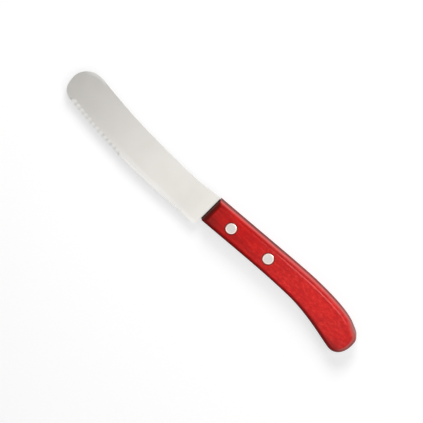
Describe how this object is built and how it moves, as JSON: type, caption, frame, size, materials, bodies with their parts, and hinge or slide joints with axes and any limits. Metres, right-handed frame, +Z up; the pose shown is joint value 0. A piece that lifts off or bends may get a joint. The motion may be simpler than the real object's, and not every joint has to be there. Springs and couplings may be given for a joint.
{
  "type": "breakfast knife",
  "caption": "Round-nosed breakfast knife with a scalloped edge, its half tang riveted into a curved handle of red laminated wood.",
  "frame": {"origin": "bottom centre of the knife's box, on the surface that the handle lies on", "axes": "+X along the knife from the nose to the butt, +Y from the cutting edge to the spine, +Z up through the thickness"},
  "size_m": [0.2216, 0.0264, 0.012],
  "materials": {
    "blade_steel": "satin",
    "red_wood": "gloss",
    "rivet_metal": "satin"
  },
  "bodies": {
    "root": {"blade": "blade_steel", "handle": "red_wood", "front_rivet_stud": "rivet_metal", "front_rivet_socket": "rivet_metal", "rear_rivet_stud": "rivet_metal", "rear_rivet_socket": "rivet_metal"}
  },
  "joints": []
}
